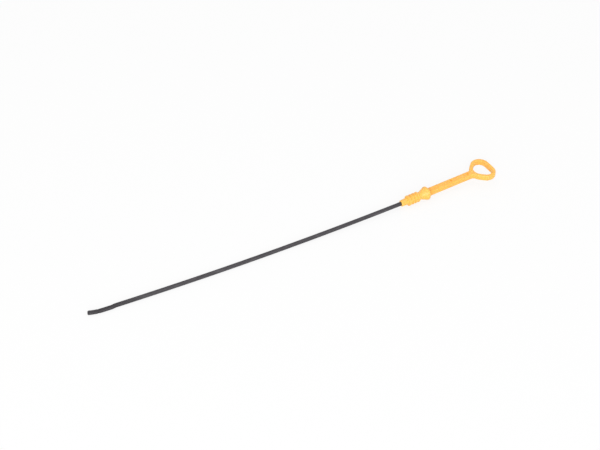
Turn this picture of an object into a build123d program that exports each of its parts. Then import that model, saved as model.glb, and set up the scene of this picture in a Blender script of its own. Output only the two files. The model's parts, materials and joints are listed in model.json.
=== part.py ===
from build123d import *
import math
import os

# Engine oil dipstick: a plastic pull handle moulded round the end of a flexible plastic rod.
# The handle is drawn along X, finger ring towards +X and flat faces level, with the collar's rim at X = 0.
# The rod runs from the plug towards -X. The last step tips both so that they lie on the table.

os.makedirs("parts", exist_ok=True)

# Rod
rod_diameter = 4.0
rod_socket_depth = 24.0
rod_free_length = 326.2
rod_end_bevel = 0.6
exit_bend_radius = 300.0
exit_bend_angle = 1.26
levelling_radius = 3400.0
bow_radius = 3305.0
crank_from_end = 26.8
crank_angle = 13.4
crank_radius = 12.0
tip_curve_length = 13.8
tip_curve_radius = 40.5
groove_from_end = 9.5
groove_width = 1.2
groove_depth = 0.15

# Plug, from the collar's rim to the nose
neck_diameter = 8.0
cone_start_from_rim = 7.2
plug_core_diameter = 8.6
rib_count = 4
rib_pitch = 3.37
rib_width = 2.1
rib_flank = 0.5
rib_diameter = 10.6
first_rib_width = 2.9
last_rib_from_rim = 11.0
nose_length = 7.4
nose_back_diameter = 7.4
nose_front_diameter = 6.5
nose_bevel = 0.4

# Collar
collar_diameter = 13.8
rim_width = 1.2
rim_round = 0.5
back_cone_length = 2.9
back_cone_diameter = 8.5

# Stem and finger ring, one flat bar
bar_thickness = 5.9
bar_edge_round = 1.1
stem_width = 6.95
hole_apex_from_rim = 55.4
hole_end_from_rim = 76.7
hole_end_radius = 100.0
hole_half_width = 17.7
hole_apex_round = 8.6
hole_corner_round = 6.2
hole_edge_bevel = 0.8
ring_band = 3.65
stem_join_round = 4.2
pin_mark_diameter = 2.2
pin_mark_depth = 0.25
near_pin_mark_from_rim = 30.6
far_pin_mark_from_rim = 51.0

tolerance = 1e-5
rod_radius = rod_diameter / 2
collar_radius = collar_diameter / 2
first_rib_from_rim = last_rib_from_rim + (rib_count - 1) * rib_pitch + (first_rib_width - rib_width) / 2
nose_back = -first_rib_from_rim
nose_front = nose_back - first_rib_width / 2 - nose_length


def turned(*outline):
    """Solid turned about X from the points (x, radius) of its outline."""
    return revolve(make_face(Polyline(*outline, close=True)), Axis.X)


def rib(from_rim, width):
    """One sealing rib: a ring with sloping flanks and a flat crest, standing on the plug's core."""
    return turned(
        (-from_rim - width / 2, 0),
        (-from_rim - width / 2, plug_core_diameter / 2),
        (-from_rim - width / 2 + rib_flank, rib_diameter / 2),
        (-from_rim + width / 2 - rib_flank, rib_diameter / 2),
        (-from_rim + width / 2, plug_core_diameter / 2),
        (-from_rim + width / 2, 0),
    )


# Nose, bevelled at its mouth
nose = turned(
    (nose_front, 0),
    (nose_front, nose_front_diameter / 2 - nose_bevel),
    (nose_front + nose_bevel, nose_front_diameter / 2),
    (nose_back, nose_back_diameter / 2),
    (nose_back, 0),
)

# Core under the ribs, then the neck
core = turned(
    (nose_back, 0),
    (nose_back, plug_core_diameter / 2),
    (-last_rib_from_rim, plug_core_diameter / 2),
    (-last_rib_from_rim, neck_diameter / 2),
    (-cone_start_from_rim, neck_diameter / 2),
    (-cone_start_from_rim, 0),
)

# Stop collar: a long cone that seats in the tube's mouth, a rounded rim and a short cone behind it
collar = turned(
    (-cone_start_from_rim, 0),
    (-cone_start_from_rim, neck_diameter / 2),
    (-rim_width / 2, collar_radius),
    (rim_width / 2, collar_radius),
    (rim_width / 2 + back_cone_length, back_cone_diameter / 2),
    (rim_width / 2 + back_cone_length, 0),
)
rim_edges = collar.edges().filter_by(GeomType.CIRCLE).sort_by(SortBy.RADIUS)[-2:]
collar = fillet(rim_edges, rim_round)

ribs = [rib(last_rib_from_rim + i * rib_pitch, rib_width) for i in range(rib_count - 1)]
ribs.append(rib(first_rib_from_rim, first_rib_width))

# Finger hole: a triangle with its apex at the stem, a slightly bowed far side and all corners rounded
hole_corner = hole_end_from_rim - hole_end_radius + math.sqrt(hole_end_radius**2 - hole_half_width**2)
sides = Polyline(
    (hole_corner, hole_half_width),
    (hole_apex_from_rim, 0),
    (hole_corner, -hole_half_width),
)
far_side = ThreePointArc(sides @ 1, (hole_end_from_rim, 0), sides @ 0)
hole = make_face(sides + far_side)
hole = fillet(hole.vertices().sort_by(Axis.X)[0], hole_apex_round)
hole = fillet(hole.vertices().sort_by(Axis.X)[-2:], hole_corner_round)

# Flat bar: the stem grows into a ring of even width round the hole, rounded outside and bevelled inside
stem_length = hole.bounding_box().min.X
stem = Pos(X=stem_length / 2) * Rectangle(stem_length, stem_width)
outline = stem + offset(hole, ring_band)
joins = outline.vertices().filter_by(lambda v: v.X > tolerance and abs(abs(v.Y) - stem_width / 2) < tolerance)
outline = fillet(joins, stem_join_round) - hole
bar = extrude(outline, bar_thickness / 2, both=True)
hole_edges = [edge for face in bar.faces().filter_by(Axis.Z) for edge in face.inner_wires()[0].edges()]
bar = chamfer(hole_edges, hole_edge_bevel)
outer_edges = [edge for face in bar.faces().filter_by(Axis.Z) for edge in face.outer_wire().edges()]
bar = fillet(outer_edges, bar_edge_round)
for from_rim in (near_pin_mark_from_rim, far_pin_mark_from_rim):
    mark = Pos(from_rim, 0, bar_thickness / 2) * Cylinder(pin_mark_diameter / 2, pin_mark_depth * 2)
    bar -= mark

# Pitch of the handle when the collar's rim and the levelled rod touch the table together
exit_turn = math.radians(exit_bend_angle)
exit_bend_length = exit_bend_radius * exit_turn
heading = Vector(-math.cos(exit_turn), math.sin(exit_turn), 0)
cone_slope = math.atan2(collar_radius - neck_diameter / 2, cone_start_from_rim - rim_width / 2)
rim_edge = Vector(rim_round * math.tan(cone_slope / 2) - rim_width / 2, 0, -collar_radius)


def drop(pitch):
    """How far the levelled rod reaches below the rim, at a pitch in radians."""
    table_up = Vector(math.sin(pitch), 0, math.cos(pitch))
    descent = math.atan(math.tan(pitch) * math.cos(exit_turn))
    level_point = Vector(nose_front - exit_bend_radius * math.sin(exit_turn), 0, 0)
    level_point += heading * levelling_radius * math.sin(descent)
    level_point += Vector(0, 0, levelling_radius * (1 - math.cos(descent)))
    rod_bottom = level_point.dot(table_up) - rod_radius
    return rim_edge.dot(table_up) - rod_bottom


low, high = 0.0, math.radians(20)
while high - low > tolerance:
    middle = (low + high) / 2
    low, high = (middle, high) if drop(middle) < 0 else (low, middle)
pitch = high
levelling_angle = math.atan(math.tan(pitch) * math.cos(exit_turn))

# Rod path: straight in the plug, a slight turn to +Y at the nose, and a long arc that levels it out
socket_end = nose_front + rod_socket_depth
held = Line((socket_end, 0), (nose_front, 0))
exit_bend = JernArc(held @ 1, held % 1, exit_bend_radius, -exit_bend_angle)
level_plane = Plane(exit_bend @ 1, x_dir=exit_bend % 1, z_dir=(math.sin(exit_turn), math.cos(exit_turn), 0))
levelling = level_plane * JernArc((0, 0), (1, 0), levelling_radius, math.degrees(levelling_angle))

# Then flat on the table: a sideways bow, a small crank and the curved measuring end
table_plane = Plane(levelling @ 1, x_dir=levelling % 1, z_dir=(-math.sin(pitch), 0, -math.cos(pitch)))
crank_length = 2 * crank_radius * math.radians(crank_angle)
bow_length = rod_free_length - exit_bend_length - levelling_radius * levelling_angle - crank_from_end
straight_length = crank_from_end - crank_length - tip_curve_length
bow = JernArc((0, 0), (1, 0), bow_radius, math.degrees(bow_length / bow_radius))
crank_out = JernArc(bow @ 1, bow % 1, crank_radius, -crank_angle)
crank_back = JernArc(crank_out @ 1, crank_out % 1, crank_radius, crank_angle)
straight = Line(crank_back @ 1, crank_back @ 1 + (crank_back % 1) * straight_length)
tip_turn = math.degrees(tip_curve_length / tip_curve_radius)
tip_curve = JernArc(straight @ 1, straight % 1, tip_curve_radius, tip_turn)
flat_run = [table_plane * piece for piece in (bow, crank_out, crank_back, straight, tip_curve)]
rod_path = Wire([held, exit_bend, levelling] + flat_run)
rod_length = rod_socket_depth + rod_free_length

rod = sweep(Plane(rod_path @ 0, z_dir=rod_path % 0) * Circle(rod_radius), rod_path)
tip_face = rod.faces().sort_by_distance(rod_path @ 1)[0]
rod = chamfer(tip_face.edges(), rod_end_bevel)
groove_at = 1 - groove_from_end / rod_length
groove_place = Plane(rod_path @ groove_at, z_dir=rod_path % groove_at)
groove = Cylinder(rod_radius + groove_depth, groove_width) - Cylinder(rod_radius - groove_depth, groove_width)
rod -= groove_place * groove

# Handle: one moulding, with the rod's straight end left out of it
socket = Pos(X=(socket_end + nose_front) / 2) * Rot(Y=90) * Cylinder(rod_radius, rod_socket_depth)
handle = nose + core + collar + ribs + bar - socket

# Tip both pieces onto the table, with the bottom centre of their common box at the origin
lie = Rot(Y=-math.degrees(pitch))
handle = lie * handle
rod = lie * rod
box = Compound([handle, rod]).bounding_box()
stand = Pos(-box.center().X, -box.center().Y, -box.min.Z)
handle = stand * handle
rod = stand * rod

export_step(handle, "parts/handle.step")
export_step(rod, "parts/rod.step")
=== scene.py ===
"""Fine surfaces, finishes and a plain studio for an engine oil dipstick, laid out as an add-on.

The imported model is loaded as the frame. The handle moulding and the rod are worked out again as
smooth numpy surfaces in the same place, from the sizes in the property groups.
"""

import json
import math
from types import SimpleNamespace

import bmesh
import bpy
import numpy as np
from mathutils import Euler, Matrix, Vector


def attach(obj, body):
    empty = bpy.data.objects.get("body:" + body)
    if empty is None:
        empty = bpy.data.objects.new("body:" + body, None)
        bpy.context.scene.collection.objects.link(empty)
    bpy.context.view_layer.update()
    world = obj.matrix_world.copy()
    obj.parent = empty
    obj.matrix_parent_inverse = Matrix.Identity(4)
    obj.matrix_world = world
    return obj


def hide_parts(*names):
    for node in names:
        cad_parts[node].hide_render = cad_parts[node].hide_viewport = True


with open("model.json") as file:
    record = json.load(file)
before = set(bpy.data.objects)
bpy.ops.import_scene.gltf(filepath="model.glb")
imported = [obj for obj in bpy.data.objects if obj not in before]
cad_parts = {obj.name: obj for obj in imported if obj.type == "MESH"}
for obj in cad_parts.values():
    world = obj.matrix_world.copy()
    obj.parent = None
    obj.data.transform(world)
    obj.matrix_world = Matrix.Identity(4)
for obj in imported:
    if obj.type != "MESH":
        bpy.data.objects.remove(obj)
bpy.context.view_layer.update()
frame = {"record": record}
PLUG = next(mount for mount in frame["record"]["mounts"] if mount["name"] == "guide_tube_plug")
MM = 0.001
# Edges that bend by more than this are shaded sharp
SHARP_ANGLE = math.radians(34)
# UV map that the rod's finish follows
ROD_MAP = "Along"

bl_info = {
    "name": "Engine oil dipstick",
    "version": (1, 0, 0),
    "blender": (4, 5, 0),
    "location": "3D View > Sidebar > Dipstick",
    "description": "Builds the handle moulding and the rod of an engine oil dipstick in a plain studio",
    "category": "Mesh",
}


# Properties


def length(name, millimetres, description):
    """A length in metres, with its default given in millimetres."""
    return bpy.props.FloatProperty(
        name=name,
        description=description,
        default=millimetres / 1000,
        min=0.0,
        precision=5,
        subtype="DISTANCE",
        unit="LENGTH",
    )


def rotation(name, degrees, description):
    """An angle, with its default given in degrees."""
    return bpy.props.FloatProperty(
        name=name, description=description, default=math.radians(degrees), subtype="ANGLE", unit="ROTATION"
    )


def position(name, value, description):
    """A place in metres."""
    return bpy.props.FloatVectorProperty(
        name=name,
        description=description,
        default=value,
        size=3,
        precision=5,
        subtype="TRANSLATION",
        unit="LENGTH",
    )


def colour(name, value, description):
    """A linear colour."""
    return bpy.props.FloatVectorProperty(
        name=name, description=description, default=value, size=3, min=0.0, max=1.0, subtype="COLOR"
    )


def share(name, value, description):
    """A number from 0 to 1."""
    return bpy.props.FloatProperty(
        name=name, description=description, default=value, min=0.0, max=1.0, subtype="FACTOR"
    )


def wattage(name, watts, description):
    """The power of a lamp."""
    return bpy.props.FloatProperty(
        name=name, description=description, default=watts, min=0.0, subtype="POWER", unit="POWER"
    )


class DIPSTICK_PG_handle(bpy.types.PropertyGroup):
    """Sizes of the handle moulding, along its own axis from the collar's rim, and its finish."""

    socket_depth: length("Socket depth", 24.0, "How far the rod is held in the plug")
    socket_diameter: length("Socket diameter", 4.04, "Hole that the rod is moulded into")
    nose_length: length("Nose length", 7.4, "Plain nose in front of the ribs")
    nose_back_diameter: length("Nose diameter at the ribs", 7.4, "Nose where it meets the first rib")
    nose_front_diameter: length("Nose diameter at the mouth", 6.5, "Nose at its front end")
    nose_bevel: length("Nose bevel", 0.4, "Bevel round the nose's mouth")
    core_diameter: length("Core diameter", 8.6, "Plug between the ribs")
    rib_count: bpy.props.IntProperty(
        name="Ribs", description="Sealing ribs on the plug", default=4, min=2, max=8
    )
    rib_pitch: length("Rib pitch", 3.37, "Distance from rib to rib")
    rib_width: length("Rib width", 2.1, "Width of a rib at its foot")
    rib_flank: length("Rib flank", 0.5, "Length of a rib's sloping flank")
    rib_diameter: length("Rib diameter", 10.6, "Diameter over the ribs")
    first_rib_width: length("First rib width", 2.9, "Width of the rib next to the nose")
    last_rib: length("Last rib from the rim", 11.0, "Middle of the rib next to the collar")
    neck_diameter: length("Neck diameter", 8.0, "Neck between the ribs and the cone")
    cone_start: length("Cone start from the rim", 7.2, "Where the seating cone begins")
    collar_diameter: length("Collar diameter", 13.8, "Rim of the stop collar")
    rim_width: length("Rim width", 1.2, "Width of the collar's rim")
    rim_round: length("Rim rounding", 0.5, "Radius of the rim's two edges")
    back_cone_length: length("Back cone length", 2.9, "Short cone behind the rim")
    back_cone_diameter: length("Back cone diameter", 8.5, "Small end of the short cone")
    bar_thickness: length("Bar thickness", 5.9, "Thickness of the stem and the ring")
    bar_edge_round: length("Outer edge rounding", 1.1, "Radius of the outer edges of the stem and the ring")
    hole_edge_round: length("Hole edge rounding", 0.8, "Radius of the edges of the finger hole")
    stem_width: length("Stem width", 6.95, "Width of the stem")
    stem_join_round: length("Stem join radius", 4.2, "Radius where the stem grows into the ring")
    hole_apex: length("Hole apex from the rim", 55.4, "Corner of the hole's triangle at the stem")
    hole_end: length("Hole end from the rim", 76.7, "Far side of the hole, in the middle")
    hole_end_radius: length("Hole end radius", 100.0, "Bow of the far side")
    hole_half_width: length("Hole half width", 17.7, "Half the far side before its corners are rounded")
    hole_apex_round: length("Hole apex rounding", 8.6, "Radius of the hole's corner at the stem")
    hole_corner_round: length("Hole corner rounding", 6.2, "Radius of the hole's far corners")
    ring_band: length("Ring band", 3.65, "Width of the ring round the hole")
    pin_mark_diameter: length("Pin mark diameter", 2.2, "Ejector pin marks on the stem")
    pin_mark_depth: length("Pin mark depth", 0.25, "Depth of the ejector pin marks")
    near_pin_mark: length("Near pin mark from the rim", 30.6, "Middle of the pin mark near the collar")
    far_pin_mark: length("Far pin mark from the rim", 51.0, "Middle of the pin mark near the ring")
    parting_width: length("Parting line width", 0.34, "Line where the mould's halves met")
    parting_height: length("Parting line height", 0.09, "How far that line stands proud")
    grain_height: length("Grain height", 0.03, "Relief of the fine grain")
    flow_height: length("Flow line height", 0.02, "Relief of the flow lines along the moulding")
    main_colour: colour("Yellow", (0.95, 0.515, 0.105), "Colour of the moulding")
    # Deep yellow also paints the shade right behind the collar
    deep_colour: colour(
        "Deep yellow", (0.92, 0.34, 0.012), "Colour in the pin marks, and partly on the stem"
    )
    roughness: share("Roughness", 0.40, "Gloss of the moulding, from mirror to matt")


class DIPSTICK_PG_rod(bpy.types.PropertyGroup):
    """Sizes of the rod along its own line, and its finish."""

    diameter: length("Diameter", 4.0, "Diameter of the rod")
    free_length: length("Free length", 326.2, "Length from the nose to the tip")
    exit_bend_radius: length("Exit bend radius", 300.0, "Slight turn sideways at the nose")
    exit_bend_angle: rotation("Exit bend", 1.26, "Angle of the turn at the nose")
    levelling_radius: length("Levelling radius", 3400.0, "Long arc in which the rod levels out")
    bow_radius: length("Bow radius", 3305.0, "Sideways bow where the rod lies flat")
    crank_from_end: length("Crank from the end", 26.8, "Where the small crank begins")
    crank_angle: rotation("Crank angle", 13.4, "Angle of the small crank")
    crank_radius: length("Crank radius", 12.0, "Radius of both bends of the crank")
    tip_curve_length: length("Tip curve length", 13.8, "Length of the curved measuring end")
    tip_curve_radius: length("Tip curve radius", 40.5, "Radius of the curved measuring end")
    groove_from_end: length("Groove from the end", 9.5, "Middle of the ring groove")
    groove_width: length("Groove width", 1.2, "Width of the ring groove")
    groove_depth: length("Groove depth", 0.15, "Depth of the ring groove")
    end_bevel: length("End bevel", 0.6, "Bevel round the tip")
    dipped_length: length("Dipped length", 60.0, "Stretch before the tip that oil has darkened")
    line_height: length("Line height", 0.02, "Relief of the lines along the rod")
    grain_height: length("Grain height", 0.008, "Relief of the fine grain")
    main_colour: colour("Dark grey", (0.034, 0.031, 0.035), "Colour of the rod")
    worn_colour: colour("Worn grey", (0.098, 0.092, 0.100), "Colour of the rubbed lines on the rod")
    roughness: share("Roughness", 0.62, "Gloss of the rod, from mirror to matt")


class DIPSTICK_PG_stage(bpy.types.PropertyGroup):
    """Camera, lamps and floor."""

    camera_place: position(
        "Camera place",
        (-0.51614, -0.65528, 0.73479),
        "Camera's place in the handle's own axes, from the middle of the rim",
    )
    camera_turn: bpy.props.FloatVectorProperty(
        name="Camera turn",
        description="Camera's rotation in the handle's own axes",
        default=(0.815863, 0.012074, -0.526212),
        size=3,
        precision=5,
        subtype="EULER",
        unit="ROTATION",
    )
    camera_lens: bpy.props.FloatProperty(
        name="Camera lens",
        description="Focal length on a sensor 36 mm wide",
        default=66.24,
        min=1.0,
        subtype="DISTANCE_CAMERA",
        unit="CAMERA",
    )
    floor_half: length("Floor half width", 4000.0, "Half the side of the pale floor")
    floor_grey: share("Floor grey", 0.86, "How much light the floor throws back")
    floor_lift: share("Floor lift", 0.84, "How far the floor is lifted to plain white for the camera")
    lamp_aim: position("Lamp aim", (0.05, 0.0, 0.0), "Place that both lamps point at")
    front_place: position("Front lamp place", (-1.20, -1.85, 1.20), "Middle of the large lamp in front")
    front_size: length("Front lamp size", 1700.0, "Side of the large lamp in front")
    front_power: wattage("Front lamp", 42.0, "Power of the large lamp in front")
    top_place: position("Top lamp place", (0.25, 0.25, 1.55), "Middle of the large lamp overhead")
    top_size: length("Top lamp size", 1300.0, "Side of the large lamp overhead")
    top_power: wattage("Top lamp", 2.5, "Power of the large lamp overhead")
    ambient: share("Surrounding light", 0.74, "Strength of the even light from all sides")


def own_properties(group):
    """The properties that a group adds to Blender's own."""
    return [prop for prop in group.bl_rna.properties if prop.identifier not in ("rna_type", "name")]


def millimetres(group):
    """The group's lengths in millimetres, and its other values as they are."""
    values = SimpleNamespace()
    for prop in own_properties(group):
        value = getattr(group, prop.identifier)
        setattr(values, prop.identifier, value * 1000 if prop.unit == "LENGTH" else value)
    return values


# Places on the handle, from the middle of the rim


def first_rib(handle):
    """Distance from the rim to the middle of the rib next to the nose."""
    wider = (handle.first_rib_width - handle.rib_width) / 2
    return handle.last_rib + (handle.rib_count - 1) * handle.rib_pitch + wider


def mouth(handle):
    """Distance from the rim to the nose's front end."""
    return first_rib(handle) + handle.first_rib_width / 2 + handle.nose_length


def collar_back(handle):
    """Distance from the rim to the end of the short cone behind it, where the stem begins."""
    return handle.rim_width / 2 + handle.back_cone_length


def handle_axes(handle):
    """4 x 4 matrix of the handle's axes: X from the rim to the ring, Y level, origin in the rim's middle.

    The plug's mount gives the axis and the middle of the rib crests, which lies half way between the
    outer ends of the first and the last crest.
    """
    front = first_rib(handle) + handle.first_rib_width / 2 - handle.rib_flank
    back = handle.last_rib - handle.rib_width / 2 + handle.rib_flank
    along = -Vector(PLUG["axis"]).normalized()
    across = Vector((0, 1, 0))
    up = along.cross(across).normalized()
    axes = Matrix((along, across, up)).transposed().to_4x4()
    axes.translation = Vector(PLUG["pos_m"]) + along * (front + back) / 2 * MM
    return axes


def placed(points, axes):
    """Points in millimetres in the handle's axes, as metres in the row frame."""
    turn = np.array(axes.to_3x3())
    return points @ turn.T * MM + np.array(axes.translation)


# Surfaces


def grid_faces(rows, columns, start):
    """Four-sided faces of a grid whose points are numbered row by row from start."""
    corner = (np.arange(rows - 1)[:, None] * columns + np.arange(columns - 1)[None, :]).ravel() + start
    return np.stack([corner, corner + 1, corner + columns + 1, corner + columns], axis=1)


def surface_object(name, grids, uvs=None):
    """One closed mesh object from several grids of points in metres, with common points merged."""
    points = np.concatenate([grid.reshape(-1, 3) for grid in grids])
    starts = np.cumsum([0] + [grid.shape[0] * grid.shape[1] for grid in grids[:-1]])
    faces = np.concatenate([grid_faces(*grid.shape[:2], start) for grid, start in zip(grids, starts)])
    mesh = bpy.data.meshes.new(name)
    mesh.from_pydata(points.tolist(), [], faces.tolist())
    if uvs is not None:
        corners = np.zeros(len(mesh.loops), np.int32)
        mesh.loops.foreach_get("vertex_index", corners)
        mesh.uv_layers.new(name=ROD_MAP).data.foreach_set("uv", uvs[corners].astype(np.float32).ravel())
    build = bmesh.new()
    build.from_mesh(mesh)
    bmesh.ops.remove_doubles(build, verts=build.verts, dist=2e-7)
    bmesh.ops.dissolve_degenerate(build, edges=build.edges, dist=1e-8)
    bmesh.ops.recalc_face_normals(build, faces=build.faces)
    build.to_mesh(mesh)
    build.free()
    mesh.polygons.foreach_set("use_smooth", np.ones(len(mesh.polygons), bool))
    mesh.set_sharp_from_angle(angle=SHARP_ANGLE)
    mesh.validate()
    made = bpy.data.objects.new(name, mesh)
    bpy.context.scene.collection.objects.link(made)
    return made


def rounded_outline(rows, steps=7, margin=0.06):
    """A polyline with its corners rounded, as (points, 2), from rows of two coordinates and a cut.

    At corner P the outline leaves the straight runs at A and C, the cut's length before and after P, and
    follows (1-u)^2 A + 2u(1-u) P + u^2 C. Two more points stand on each straight run, a margin of its
    length from its ends, so that smooth shading bends only there.
    """
    rows = np.asarray(rows, float)
    corners, cuts = rows[:, :2], rows[:, 2:]
    runs = np.diff(corners, axis=0)
    heads = runs / np.linalg.norm(runs, axis=1, keepdims=True)
    into = np.vstack([heads[:1], heads])
    out = np.vstack([heads, heads[-1:]])
    before, after = corners - cuts * into, corners + cuts * out
    u = np.linspace(0, 1, steps)[None, :, None]
    bends = (1 - u) ** 2 * before[:, None] + 2 * u * (1 - u) * corners[:, None] + u**2 * after[:, None]
    next_before = np.vstack([before[1:], corners[-1:]])
    run_start = after * (1 - margin) + next_before * margin
    run_end = after * margin + next_before * (1 - margin)
    points = np.concatenate([bends, np.stack([run_start, run_end], axis=1)], axis=1).reshape(-1, 2)
    kept = np.r_[True, np.linalg.norm(np.diff(points, axis=0), axis=1) > 1e-5]
    return points[kept]


def plug_outline(handle):
    """Outline (x, radius) of everything turned: socket, nose, ribs, neck, cone, rim and back cone.

    Each corner's third number is the cut of its rounding, in millimetres.
    """
    crest, core = handle.rib_diameter / 2, handle.core_diameter / 2
    neck, socket = handle.neck_diameter / 2, handle.socket_diameter / 2
    rim = handle.collar_diameter / 2

    centres = -handle.last_rib - handle.rib_pitch * np.arange(handle.rib_count - 1)[::-1]
    centres = np.r_[-first_rib(handle), centres]
    halves = np.r_[handle.first_rib_width, np.full(handle.rib_count - 1, handle.rib_width)] / 2
    x = centres[:, None] + np.stack(
        [-halves, handle.rib_flank - halves, halves - handle.rib_flank, halves], axis=1
    )
    radius = np.broadcast_to([core, crest, crest, core], x.shape)
    cut = np.broadcast_to([0.12, 0.16, 0.16, 0.12], x.shape)
    ribs = np.stack([x, radius, cut], axis=-1).reshape(-1, 3)
    ribs[0, 2] = 0.1

    front_end = -mouth(handle)
    nose_front, nose_back = handle.nose_front_diameter / 2, handle.nose_back_diameter / 2
    taper = (nose_back - nose_front) / (-first_rib(handle) - front_end - handle.nose_bevel)
    nose_foot = nose_front + taper * (ribs[0, 0] - front_end - handle.nose_bevel)
    front = [
        (front_end + handle.socket_depth, 0.0, 0.0),
        (front_end + handle.socket_depth, socket, 0.0),
        (front_end, socket, 0.1),
        (front_end, nose_front - handle.nose_bevel, 0.12),
        (front_end + handle.nose_bevel, nose_front, 0.14),
        (ribs[0, 0], nose_foot, 0.15),
    ]

    cone = math.atan2(rim - neck, handle.cone_start - handle.rim_width / 2)
    back_cone = math.atan2(rim - handle.back_cone_diameter / 2, handle.back_cone_length)
    back = [
        (ribs[-1, 0], neck, 0.06),
        (-handle.cone_start, neck, 0.5),
        (-handle.rim_width / 2, rim, handle.rim_round * math.tan(cone / 2)),
        (handle.rim_width / 2, rim, handle.rim_round * math.tan(back_cone / 2)),
        (collar_back(handle), handle.back_cone_diameter / 2, 0.0),
    ]
    return rounded_outline(np.concatenate([front, ribs, back]))


def arc(centre, radius, angles):
    """Points on a circle in the plan, and their directions from its centre."""
    heading = np.stack([np.cos(angles), np.sin(angles)], axis=-1)
    return np.asarray(centre) + radius * heading, heading


def bar_plan(handle):
    """Plan of the +Y half of the stem and the ring, row by row from the collar to the far middle.

    Returns the inner line, the outer line and the outer line's outward direction on every row, and the
    hole's edge and its outward direction on the rows round the hole. On the stem the inner line is the
    middle line. Round the hole it stands the hole's edge rounding outside the hole, which is a rounded
    triangle: apex arc, straight flank, corner arc and bowed far side. Rows stand closest at the pin
    marks, at the joins and round the corners.
    """
    half, edge, band = handle.stem_width / 2, handle.hole_edge_round, handle.ring_band
    apex_round, corner_round = handle.hole_apex_round, handle.hole_corner_round

    far_centre = np.array([handle.hole_end - handle.hole_end_radius, 0.0])
    corner_x = far_centre[0] + math.sqrt(handle.hole_end_radius**2 - handle.hole_half_width**2)
    slope = math.atan2(handle.hole_half_width, corner_x - handle.hole_apex)
    side = np.array([-math.sin(slope), math.cos(slope)])
    ahead = np.array([math.cos(slope), math.sin(slope)])
    apex = np.array([handle.hole_apex + apex_round / math.sin(slope), 0.0])
    start = np.array([handle.hole_apex, 0.0]) - corner_round * side - far_centre
    reach = (handle.hole_end_radius - corner_round) ** 2 - start @ start + (start @ ahead) ** 2
    corner = far_centre + start + ahead * (math.sqrt(reach) - start @ ahead)
    far_angle = math.atan2(corner[1], corner[0] - far_centre[0])

    rise = half + handle.stem_join_round
    reach_to_apex = apex_round + band + handle.stem_join_round
    join = np.array([apex[0] - math.sqrt(reach_to_apex**2 - rise**2), rise])
    join_end = math.atan2(apex[1] - join[1], apex[0] - join[0])

    near, far, mark = handle.near_pin_mark, handle.far_pin_mark, handle.pin_mark_diameter * 0.65
    stem_start, stem_foot = collar_back(handle), collar_back(handle) + 0.3
    stem_x = np.concatenate([
        np.linspace(stem_start, stem_foot, 4)[:-1],
        np.linspace(stem_foot, near - mark, 26)[:-1],
        np.linspace(near - mark, near + mark, 31)[:-1],
        np.linspace(near + mark, far - mark, 20)[:-1],
        np.linspace(far - mark, far + mark, 31)[:-1],
        np.linspace(far + mark, join[0], 6)[:-1],
    ])
    stem_inner = np.stack([stem_x, 0 * stem_x], axis=-1)
    stem_outer = np.stack([stem_x, 0 * stem_x + half], axis=-1)
    stem_out = np.broadcast_to([0.0, 1.0], stem_outer.shape)

    edge_radius = apex_round + edge
    run = apex[0] - edge_radius - join[0]
    bend = edge_radius * -join_end
    line = np.linspace(0, run, 4)[:-1]
    turn = np.linspace(math.pi, math.pi + join_end, 15)
    join_hole, join_heading = arc(apex, apex_round, turn)
    join_inner = np.concatenate([
        np.stack([join[0] + line, 0 * line], axis=-1), join_hole + edge * join_heading
    ])
    part = np.concatenate([line, run + bend * np.linspace(0, 1, 15)]) / (run + bend)
    join_angles = -math.pi / 2 + part * (join_end + math.pi / 2)
    join_outer, join_side = arc(join, handle.stem_join_round, join_angles)

    flank_angle = math.pi / 2 + slope
    apex_hole, apex_heading = arc(apex, apex_round, np.linspace(turn[-1], flank_angle, 12)[1:])
    corner_hole, corner_heading = arc(corner, corner_round, np.linspace(flank_angle, far_angle, 44))
    across = np.linspace(0, 1, 14)[1:-1, None]
    flank_hole = apex_hole[-1] * (1 - across) + corner_hole[0] * across
    flank_heading = np.broadcast_to(side, flank_hole.shape)
    far_hole, far_heading = arc(far_centre, handle.hole_end_radius, np.linspace(far_angle, 0, 22)[1:])
    far_hole[-1, 1] = 0.0
    ring_hole = np.concatenate([apex_hole, flank_hole, corner_hole, far_hole])
    ring_heading = np.concatenate([apex_heading, flank_heading, corner_heading, far_heading])

    inner = np.concatenate([stem_inner, join_inner, ring_hole + edge * ring_heading])
    outer = np.concatenate([stem_outer, join_outer, ring_hole + band * ring_heading])
    out = np.concatenate([stem_out, -join_side, ring_heading])
    hole = np.concatenate([join_hole, ring_hole])
    heading = np.concatenate([join_heading, ring_heading])
    hole[0, 1] = 0.0
    inner[len(stem_x) + len(line), 1] = 0.0
    return inner, outer, out, hole, heading


def bar_section(handle):
    """Section of the bar's +Y half from the top middle round the side to the bottom middle.

    Each column gives a share of the way from the inner to the outer line, a step along the outward
    direction and a height: flat top, quarter round, side wall, quarter round and flat bottom.
    """
    half, edge = handle.bar_thickness / 2, handle.bar_edge_round
    flat = np.linspace(0, 1, 21)
    quarter = np.linspace(math.pi / 2, 0, 10)[1:]
    wall = np.linspace(half - edge, edge - half, 14)[1:-1]
    top_share = np.concatenate([flat, np.ones(len(quarter))])
    top_step = np.concatenate([-edge * flat, edge * (np.cos(quarter) - 1)])
    top_height = np.concatenate([0 * flat + half, half - edge + edge * np.sin(quarter)])
    outer = np.concatenate([top_share, np.ones(len(wall)), top_share[::-1]])
    step = np.concatenate([top_step, 0 * wall, top_step[::-1]])
    height = np.concatenate([top_height, wall, -top_height[::-1]])
    return outer, step, height


def hole_section(handle):
    """Section of the hole's wall from its top to its bottom edge: a step out of the hole and a height."""
    half, edge = handle.bar_thickness / 2, handle.hole_edge_round
    quarter = np.linspace(math.pi / 2, 0, 8)
    wall = np.linspace(half - edge, edge - half, 12)[1:-1]
    step = edge * (1 - np.cos(quarter))
    height = half - edge + edge * np.sin(quarter)
    return (
        np.concatenate([step, 0 * wall, step[::-1]]),
        np.concatenate([height, wall, -height[::-1]]),
    )


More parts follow.
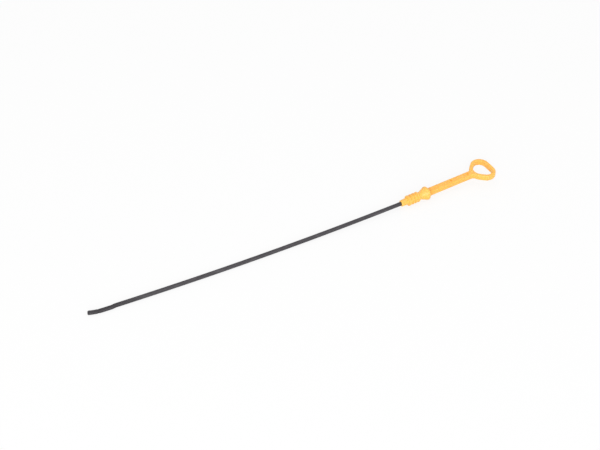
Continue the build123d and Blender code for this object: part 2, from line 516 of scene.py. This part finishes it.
def handle_surface(handle):
    """Grids of the whole moulding in the handle's axes, in millimetres.

    The turned half is (x, r cos a, r sin a) over the outline and the angles of the stem section's own
    points, so its last ring and the stem's first ring share their columns. The bar's half is inner line
    plus a share of the way to the outer line plus step times outward direction, at the section's heights.
    The pin marks lower the top face by depth times a smooth step of the distance from their middles.
    Both halves and the hole's wall are repeated with Y turned round.
    """
    inner, outer, out, hole, heading = bar_plan(handle)
    share_out, step, height = bar_section(handle)
    plan = (
        inner[:, None] * (1 - share_out)[None, :, None]
        + outer[:, None] * share_out[None, :, None]
        + out[:, None] * step[None, :, None]
    )
    heights = np.broadcast_to(height, plan.shape[:2]).copy()
    soft_edge = 0.1
    for middle in (handle.near_pin_mark, handle.far_pin_mark):
        away = np.hypot(plan[..., 0] - middle, plan[..., 1])
        near = np.clip((handle.pin_mark_diameter / 2 + soft_edge - away) / (2 * soft_edge), 0, 1)
        on_top = heights > handle.bar_thickness / 2 - 1e-6 - handle.pin_mark_depth
        heights -= handle.pin_mark_depth * near**2 * (3 - 2 * near) * on_top
    bar = np.concatenate([plan, heights[..., None]], axis=-1)

    outline = plug_outline(handle)
    angles = np.arctan2(height, bar[0, :, 1])
    x, radius = outline[:, :1], outline[:, 1:]
    turned = np.stack(
        np.broadcast_arrays(x, radius * np.cos(angles), radius * np.sin(angles)), axis=-1
    ).copy()
    turned[:, [0, -1], 1] = 0.0
    moulding = np.concatenate([turned, bar])

    hole_step, hole_height = hole_section(handle)
    wall_plan = hole[:, None] + heading[:, None] * hole_step[None, :, None]
    wall_height = np.broadcast_to(hole_height, wall_plan.shape[:2])
    wall = np.concatenate([wall_plan, wall_height[..., None]], axis=-1)
    other_side = np.array([1.0, -1.0, 1.0])
    return [moulding, moulding * other_side, wall, wall * other_side]


def turned_about(vector, axis, angles):
    """A vector turned about a unit axis by each angle: v cos a + (k x v) sin a + k (k.v)(1 - cos a)."""
    c, s = np.cos(angles)[:, None], np.sin(angles)[:, None]
    return vector * c + np.cross(axis, vector) * s + np.outer(1 - c[:, 0], axis * (axis @ vector))


def rod_chain(rod, handle, axes):
    """The rod's runs from the socket to the tip: each one's length, curvature and axis of turning."""
    along, level, up = (np.array(axes.to_3x3().col[i]) for i in range(3))
    table_up = np.array([0.0, 0.0, 1.0])
    pitch = math.atan2(along[2], along[0])
    exit_angle = rod.exit_bend_angle
    exit_length = rod.exit_bend_radius * exit_angle
    level_length = rod.levelling_radius * math.atan(math.tan(pitch) * math.cos(exit_angle))
    level_axis = along * math.sin(exit_angle) + level * math.cos(exit_angle)
    bow_length = rod.free_length - exit_length - level_length - rod.crank_from_end
    crank_half = rod.crank_radius * rod.crank_angle
    straight = rod.crank_from_end - 2 * crank_half - rod.tip_curve_length
    return (
        (handle.socket_depth, 0.0, up),
        (exit_length, 1 / rod.exit_bend_radius, -up),
        (level_length, 1 / rod.levelling_radius, level_axis),
        (bow_length, 1 / rod.bow_radius, -table_up),
        (crank_half, 1 / rod.crank_radius, table_up),
        (crank_half, 1 / rod.crank_radius, -table_up),
        (straight, 0.0, table_up),
        (rod.tip_curve_length, 1 / rod.tip_curve_radius, -table_up),
    )


def rod_line(rod, handle, axes, stations):
    """Middle line of the rod at the stations, with its direction and one side direction.

    The line is a chain of arcs. On an arc of curvature k about a unit axis it is
    p + t sin(ks)/k + (axis x t)(1 - cos(ks))/k, and both directions turn about that axis by ks.
    """
    chain = rod_chain(rod, handle, axes)
    along, up = np.array(axes.to_3x3().col[0]), np.array(axes.to_3x3().col[2])
    place = np.array(axes.translation) / MM + along * (handle.socket_depth - mouth(handle))
    ahead, side = -along, up
    points, headings, sides = [], [], []
    done = 0.0
    for number, (run, bend, axis) in enumerate(chain):
        last = number == len(chain) - 1
        here = stations[(stations >= done) & ((stations < done + run) | last)] - done
        here = np.r_[here, run]
        angles = bend * here
        forward, sideways = here, 0 * here
        if bend:
            forward, sideways = np.sin(angles) / bend, (1 - np.cos(angles)) / bend
        curve = place + ahead * forward[:, None] + np.cross(axis, ahead) * sideways[:, None]
        headed, sided = turned_about(ahead, axis, angles), turned_about(side, axis, angles)
        points.append(curve[:-1])
        headings.append(headed[:-1])
        sides.append(sided[:-1])
        place, ahead, side = curve[-1], headed[-1], sided[-1]
        done += run
    return np.concatenate(points), np.concatenate(headings), np.concatenate(sides)


def rod_outline(rod, handle):
    """Outline (distance along the rod, radius) from the socket end to the tip, with groove and bevel.

    Each corner's third number is the cut of its rounding, in millimetres.
    """
    whole = handle.socket_depth + rod.free_length
    radius = rod.diameter / 2
    groove = whole - rod.groove_from_end
    half, floor = rod.groove_width / 2, radius - rod.groove_depth
    return rounded_outline([
        (0.0, 0.0, 0.0),
        (0.0, radius, 0.0),
        (groove - half, radius, 0.06),
        (groove - half, floor, 0.05),
        (groove + half, floor, 0.05),
        (groove + half, radius, 0.06),
        (whole - rod.end_bevel, radius, 0.3),
        (whole, radius - rod.end_bevel, 0.3),
        (whole, 0.0, 0.0),
    ])


def rod_surface(rod, handle, axes, columns=48, spacing=1.2):
    """Grid of the rod in metres in the row frame, and its UV map.

    The outline's radius r is carried along the line: p + r (side cos a + (ahead x side) sin a). U is the
    share of the turn from the underside, V the share of the length. Between the outline's own corners,
    stations stand a spacing apart, and half of it at the tip, so that the bends stay smooth.
    """
    outline = rod_outline(rod, handle)
    whole = outline[:, 0].max()
    groove = whole - rod.groove_from_end
    between = np.arange(spacing, groove - rod.groove_width, spacing)
    after = np.arange(groove + rod.groove_width, whole - rod.end_bevel - 0.4, spacing / 2)
    more = np.concatenate([between, after])
    rows = np.concatenate([outline, np.stack([more, np.full(len(more), rod.diameter / 2)], axis=-1)])
    order = np.lexsort((np.arange(len(rows)), rows[:, 0]))
    stations, radius = rows[order].T
    point, ahead, side = rod_line(rod, handle, axes, np.minimum(stations, whole - 1e-9))
    turn = np.linspace(0, 2 * math.pi, columns + 1)
    other = np.cross(ahead, side)
    ring = side[:, None] * np.cos(turn)[None, :, None] + other[:, None] * np.sin(turn)[None, :, None]
    grid = point[:, None] + radius[:, None, None] * ring
    grid[:, -1] = grid[:, 0]
    share_turn, share_length = np.meshgrid(turn / (2 * math.pi) + 0.5, stations / whole)
    return grid * MM, np.stack([share_turn, share_length], axis=-1).reshape(-1, 2)


# Materials


class Field:
    """A value over a surface: one output socket. Arithmetic on it adds Math nodes."""

    def __init__(self, tree, socket=None):
        self.tree = tree
        self.socket = socket

    def node(self, kind, settings=None, inputs=None, output=0):
        """One node: its settings first, then the value or the link of each input, by name or number."""
        made = self.tree.nodes.new(kind)
        for key, value in (settings or {}).items():
            setattr(made, key, value)
        for key, value in (inputs or {}).items():
            if isinstance(value, Field):
                self.tree.links.new(value.socket, made.inputs[key])
            else:
                made.inputs[key].default_value = value
        return Field(self.tree, made.outputs[output])

    def out(self, output):
        """Another output of the same node."""
        return Field(self.tree, self.socket.node.outputs[output])

    def math(self, operation, first, second=0.0):
        """One Math node on two values."""
        return self.node("ShaderNodeMath", {"operation": operation}, {0: first, 1: second})

    def __add__(self, other):
        return self.math("ADD", self, other)

    __radd__ = __add__

    def __sub__(self, other):
        return self.math("SUBTRACT", self, other)

    def __rsub__(self, other):
        return self.math("SUBTRACT", other, self)

    def __mul__(self, other):
        return self.math("MULTIPLY", self, other)

    __rmul__ = __mul__

    def __abs__(self):
        return self.math("ABSOLUTE", self)

    def limited(self):
        """This value, held between 0 and 1."""
        return self.math("MINIMUM", self.math("MAXIMUM", self, 0.0), 1.0)

    def smooth(self, low, high):
        """0 below low, 1 above high and a smooth step between; the other way round if low is above high."""
        falls = low > high
        ends = {
            "From Min": min(low, high),
            "From Max": max(low, high),
            "To Min": float(falls),
            "To Max": float(not falls),
        }
        return self.node(
            "ShaderNodeMapRange", {"interpolation_type": "SMOOTHSTEP"}, {"Value": self, **ends}
        )

    def noise(self, scale, detail, roughness=0.55):
        """Noise over this vector."""
        return self.node(
            "ShaderNodeTexNoise",
            None,
            {"Vector": self, "Scale": scale, "Detail": detail, "Roughness": roughness},
        )

    def mixed(self, first, second):
        """Mix of two colours by this share."""
        return self.node(
            "ShaderNodeMix", {"data_type": "RGBA"}, {0: self, 6: first, 7: second}, output=2
        )


def opaque(value):
    """A colour property as four numbers."""
    return (*value, 1.0)


def new_material(name):
    """A material with its shader node and a field to start its maths from."""
    material = bpy.data.materials.new(name)
    material.use_nodes = True
    return material, material.node_tree.nodes["Principled BSDF"], Field(material.node_tree)


def apply_finish(shader, tone, gloss, height):
    """Links what changes over the surface to the shader: colour, roughness and relief in metres."""
    bump = height.node("ShaderNodeBump", None, {"Strength": 0.6, "Distance": 1.0, "Height": height})
    for socket, value in (("Base Color", tone), ("Roughness", gloss), ("Normal", bump)):
        height.tree.links.new(value.socket, shader.inputs[socket])


def yellow_moulding(handle, axes):
    """Satin yellow plastic, slightly translucent.

    Its colour has faint mottling and flow lines along the moulding. It is a little deeper on the stem,
    with painted shade right behind the collar, and deepest in the pin marks. The rib crests are rubbed
    smoother.
    Its relief is a fine grain, the flow lines and a parting line at half thickness.
    """
    material, shader, field = new_material("satin_yellow_moulding")
    coords = field.node("ShaderNodeTexCoord", output="Object")
    own = field.node(
        "ShaderNodeMapping",
        {"vector_type": "TEXTURE"},
        {"Vector": coords, "Location": axes.translation, "Rotation": axes.to_euler()},
    )
    parts = field.node("ShaderNodeSeparateXYZ", None, {0: own})
    x, y, z = parts, parts.out(1), parts.out(2)
    from_axis = field.math("SQRT", y * y + z * z)

    mottle = own.noise(scale=120.0, detail=4.0)
    stretched = field.node("ShaderNodeMapping", None, {"Vector": own, "Scale": (60.0, 700.0, 700.0)})
    flow = stretched.noise(scale=1.0, detail=3.0)
    grain = own.noise(scale=2800.0, detail=3.0, roughness=0.6)

    stem_start, top = collar_back(handle), handle.bar_thickness / 2
    ring = x.smooth(handle.hole_apex - 7.4 * MM, handle.hole_apex + 4.6 * MM)
    stem = x.smooth(0.0, 6.0 * MM) - ring * 0.7
    # Painted shade: the stem is deepened just behind the collar, as if the collar shaded it
    painted_collar_shade = x.smooth(stem_start + 5.0 * MM, stem_start + 0.1 * MM)
    painted_collar_shade = painted_collar_shade * x.smooth(stem_start - 0.5 * MM, stem_start + 0.1 * MM)
    mark_width = handle.pin_mark_diameter
    marks = 0.0
    for middle in (handle.near_pin_mark, handle.far_pin_mark):
        away = field.math("SQRT", (x - middle) * (x - middle) + y * y)
        marks = away.smooth(mark_width * 0.62, mark_width * 0.42) + marks
    marks = marks * z.smooth(top - 0.75 * MM, top - 0.45 * MM)
    # Deeper tone on the stem, painted shade behind the collar, the pin marks, mottling and flow lines
    deep = stem * 0.18 + painted_collar_shade * 0.3 + marks + (mottle - 0.5) * 0.4 + (flow - 0.5) * 0.4
    tone = deep.limited().mixed(opaque(handle.main_colour), opaque(handle.deep_colour))

    crest, rib_back = handle.rib_diameter / 2, handle.rib_width / 2 - handle.last_rib
    rubbed = from_axis.smooth(crest - 0.15 * MM, crest - 0.02 * MM)
    rubbed = rubbed * x.smooth(rib_back + 0.45 * MM, rib_back - 0.35 * MM)
    gloss = handle.roughness + (grain - 0.5) * 0.12 + (mottle - 0.5) * 0.10 - rubbed * 0.08

    half_line = handle.parting_width / 2
    parting = abs(z).smooth(half_line + 0.07 * MM, half_line - 0.07 * MM)
    height = grain * handle.grain_height + parting * handle.parting_height + flow * handle.flow_height
    apply_finish(shader, tone, gloss, height)
    shader.inputs["IOR"].default_value = 1.49
    shader.inputs["Subsurface Weight"].default_value = 0.3
    shader.inputs["Subsurface Radius"].default_value = (1.0, 0.55, 0.2)
    shader.inputs["Subsurface Scale"].default_value = 1.5 * MM
    return material


def round_rod(field, angle, distance):
    """The vector (cos a, sin a, distance). Noise over it closes round the rod without a seam."""
    return field.node(
        "ShaderNodeCombineXYZ",
        None,
        {0: field.math("COSINE", angle), 1: field.math("SINE", angle), 2: distance},
    )


def drawn_rod(rod, whole):
    """Satin dark grey plastic: fine lines along the drawn rod, rubbed patches and a soft grain.

    The end that dips into the oil is darker, and the ring groove is darkened with painted shade.
    """
    material, shader, field = new_material("satin_grey_rod")
    uv = field.node("ShaderNodeUVMap", {"uv_map": ROD_MAP})
    parts = field.node("ShaderNodeSeparateXYZ", None, {0: uv})
    angle, distance = parts * (2 * math.pi), parts.out(1) * whole
    drawn = round_rod(field, angle, distance * 14.0).noise(scale=9.0, detail=4.0, roughness=0.6)
    patches = round_rod(field, angle, distance * 60.0).noise(scale=1.6, detail=3.0)
    rubbed = patches.smooth(0.50, 0.68)
    grain = field.node("ShaderNodeTexCoord", output="Object").noise(scale=4200.0, detail=2.0)

    dipped = distance.smooth(whole - rod.dipped_length, whole - rod.dipped_length / 3)
    # Painted shade: the colour is darkened in the ring groove, where shade falls
    half_groove = rod.groove_width / 2
    from_groove = abs(distance - (whole - rod.groove_from_end))
    groove = from_groove.smooth(half_groove + 0.4 * MM, half_groove - 0.1 * MM)
    wear_and_groove_shade = (drawn - 0.5) * 1.3 + rubbed * 0.45 + 0.33 - dipped * 0.3 - groove * 0.4
    tone = wear_and_groove_shade.limited().mixed(opaque(rod.main_colour), opaque(rod.worn_colour))
    gloss = rod.roughness + (drawn - 0.5) * 0.16 + (grain - 0.5) * 0.08 - rubbed * 0.06
    apply_finish(shader, tone, gloss, drawn * rod.line_height + grain * rod.grain_height)
    shader.inputs["IOR"].default_value = 1.33
    return material


# Studio


def seen_directly(field):
    """1 for rays from the camera and for glossy and transmitted ones, 0 for the rest."""
    path = field.node("ShaderNodeLightPath", output="Is Camera Ray")
    both = field.math("MAXIMUM", path, path.out("Is Glossy Ray"))
    return field.math("MAXIMUM", both, path.out("Is Transmission Ray"))


def pale_floor(stage):
    """Matt white floor that takes the shadow, lifted towards plain white where it is seen."""
    material = bpy.data.materials.new("pale_floor")
    material.use_nodes = True
    tree = material.node_tree
    tree.nodes.remove(tree.nodes["Principled BSDF"])
    field = Field(tree)
    matt = field.node("ShaderNodeBsdfDiffuse", None, {"Color": opaque([stage.floor_grey] * 3)})
    white = field.node("ShaderNodeEmission", None, {"Color": (1.0, 1.0, 1.0, 1.0), "Strength": 1.0})
    mixed = field.node(
        "ShaderNodeMixShader", None, {0: seen_directly(field) * stage.floor_lift, 1: matt, 2: white}
    )
    tree.links.new(mixed.socket, tree.nodes["Material Output"].inputs["Surface"])
    return material


def add_floor(scene, stage):
    """A large square under the dipstick."""
    half = stage.floor_half
    mesh = bpy.data.meshes.new("floor")
    mesh.from_pydata(
        [(-half, -half, 0), (half, -half, 0), (half, half, 0), (-half, half, 0)], [], [(0, 1, 2, 3)]
    )
    mesh.materials.append(pale_floor(stage))
    floor = bpy.data.objects.new("floor", mesh)
    scene.collection.objects.link(floor)


def add_lamp(scene, name, place, aim, size, power):
    """A large square lamp that points at aim."""
    data = bpy.data.lights.new(name, "AREA")
    data.shape = "SQUARE"
    data.size = size
    data.energy = power
    lamp = bpy.data.objects.new(name, data)
    lamp.location = place
    lamp.rotation_euler = (Vector(aim) - Vector(place)).to_track_quat("-Z", "Y").to_euler()
    scene.collection.objects.link(lamp)


def set_surroundings(scene, stage):
    """Even light from all sides, plain white where it is seen."""
    world = bpy.data.worlds.new("surroundings")
    scene.world = world
    world.use_nodes = True
    tree = world.node_tree
    tree.nodes.remove(tree.nodes["Background"])
    field = Field(tree)
    plain = {"Color": (1.0, 1.0, 1.0, 1.0)}
    soft = field.node("ShaderNodeBackground", None, {**plain, "Strength": stage.ambient})
    white = field.node("ShaderNodeBackground", None, {**plain, "Strength": 1.0})
    mixed = field.node("ShaderNodeMixShader", None, {0: seen_directly(field), 1: soft, 2: white})
    tree.links.new(mixed.socket, tree.nodes["World Output"].inputs["Surface"])


def add_camera(scene, stage, axes):
    """The camera, placed in the handle's own axes."""
    data = bpy.data.cameras.new("camera")
    data.sensor_width = 36.0
    data.lens = stage.camera_lens
    data.clip_start, data.clip_end = 0.01, 50.0
    camera = bpy.data.objects.new("camera", data)
    turn = Euler(stage.camera_turn, "XYZ").to_matrix().to_4x4()
    camera.matrix_world = axes @ Matrix.Translation(stage.camera_place) @ turn
    scene.collection.objects.link(camera)
    scene.camera = camera


# Operators


class DIPSTICK_OT_build_handle(bpy.types.Operator):
    """Builds the handle moulding: plug, collar, stem and finger ring in one closed surface"""

    bl_idname = "dipstick.build_handle"
    bl_label = "Build handle"

    def execute(self, context):
        sizes = millimetres(context.scene.dipstick_handle)
        axes = handle_axes(sizes)
        grids = [placed(grid, axes) for grid in handle_surface(sizes)]
        made = surface_object("handle_moulding", grids)
        made.data.materials.append(yellow_moulding(context.scene.dipstick_handle, axes))
        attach(made, "root")
        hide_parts("handle")
        return {"FINISHED"}


class DIPSTICK_OT_build_rod(bpy.types.Operator):
    """Builds the rod along its bends, with the ring groove and the bevelled tip"""

    bl_idname = "dipstick.build_rod"
    bl_label = "Build rod"

    def execute(self, context):
        handle = millimetres(context.scene.dipstick_handle)
        rod = millimetres(context.scene.dipstick_rod)
        grid, uvs = rod_surface(rod, handle, handle_axes(handle))
        made = surface_object("measuring_rod", [grid], uvs)
        whole = (handle.socket_depth + rod.free_length) * MM
        made.data.materials.append(drawn_rod(context.scene.dipstick_rod, whole))
        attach(made, "root")
        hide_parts("rod")
        return {"FINISHED"}


class DIPSTICK_OT_set_stage(bpy.types.Operator):
    """Sets the floor, the lamps, the surrounding light and the camera"""

    bl_idname = "dipstick.set_stage"
    bl_label = "Set stage"

    def execute(self, context):
        scene, stage = context.scene, context.scene.dipstick_stage
        scene.view_settings.view_transform = "Standard"
        add_floor(scene, stage)
        aim = stage.lamp_aim
        add_lamp(scene, "front_lamp", stage.front_place, aim, stage.front_size, stage.front_power)
        add_lamp(scene, "top_lamp", stage.top_place, aim, stage.top_size, stage.top_power)
        set_surroundings(scene, stage)
        add_camera(scene, stage, handle_axes(millimetres(scene.dipstick_handle)))
        return {"FINISHED"}


class DIPSTICK_PT_sidebar(bpy.types.Panel):
    """Lists the dipstick's operators and sizes"""

    bl_idname = "DIPSTICK_PT_sidebar"
    bl_label = "Engine oil dipstick"
    bl_space_type = "VIEW_3D"
    bl_region_type = "UI"
    bl_category = "Dipstick"

    def draw(self, context):
        for operator, group in (
            (DIPSTICK_OT_build_handle, context.scene.dipstick_handle),
            (DIPSTICK_OT_build_rod, context.scene.dipstick_rod),
            (DIPSTICK_OT_set_stage, context.scene.dipstick_stage),
        ):
            box = self.layout.box()
            box.operator(operator.bl_idname)
            for prop in own_properties(group):
                box.prop(group, prop.identifier)


CLASSES = (
    DIPSTICK_PG_handle,
    DIPSTICK_PG_rod,
    DIPSTICK_PG_stage,
    DIPSTICK_OT_build_handle,
    DIPSTICK_OT_build_rod,
    DIPSTICK_OT_set_stage,
    DIPSTICK_PT_sidebar,
)


def register():
    """Adds the classes, and the three groups of sizes to the scene."""
    for made in CLASSES:
        bpy.utils.register_class(made)
    bpy.types.Scene.dipstick_handle = bpy.props.PointerProperty(type=DIPSTICK_PG_handle)
    bpy.types.Scene.dipstick_rod = bpy.props.PointerProperty(type=DIPSTICK_PG_rod)
    bpy.types.Scene.dipstick_stage = bpy.props.PointerProperty(type=DIPSTICK_PG_stage)


def unregister():
    """Takes away what register added."""
    del bpy.types.Scene.dipstick_stage
    del bpy.types.Scene.dipstick_rod
    del bpy.types.Scene.dipstick_handle
    for made in reversed(CLASSES):
        bpy.utils.unregister_class(made)


def main():
    """Builds the dipstick and its studio."""
    register()
    bpy.ops.dipstick.build_handle()
    bpy.ops.dipstick.build_rod()
    bpy.ops.dipstick.set_stage()


if __name__ == "__main__":
    main()
